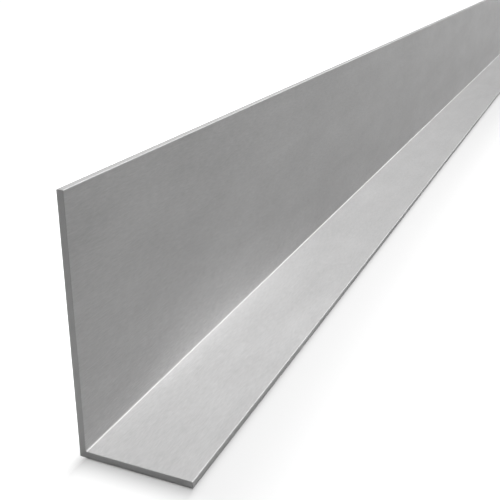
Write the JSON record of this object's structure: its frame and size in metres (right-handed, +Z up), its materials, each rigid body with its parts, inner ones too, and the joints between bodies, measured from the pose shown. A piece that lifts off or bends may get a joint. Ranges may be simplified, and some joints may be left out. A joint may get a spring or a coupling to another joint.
{
  "type": "unequal metal angle section",
  "caption": "Straight L-shaped metal stock with a tall leg, a short leg, sharp corners and square-sawn ends, for edging, framing and brackets.",
  "frame": {"origin": "middle of the footprint, on the ground, under the middle of the length", "axes": "+X from the heel across the short leg to its toe, +Y along the length, +Z up the tall leg, which stands at the -X side"},
  "size_m": [0.05, 2, 0.11],
  "materials": {
    "satin_aluminium": "satin, with a fine grain along the length"
  },
  "bodies": {
    "root": {"angle_section": "satin_aluminium"}
  },
  "joints": []
}
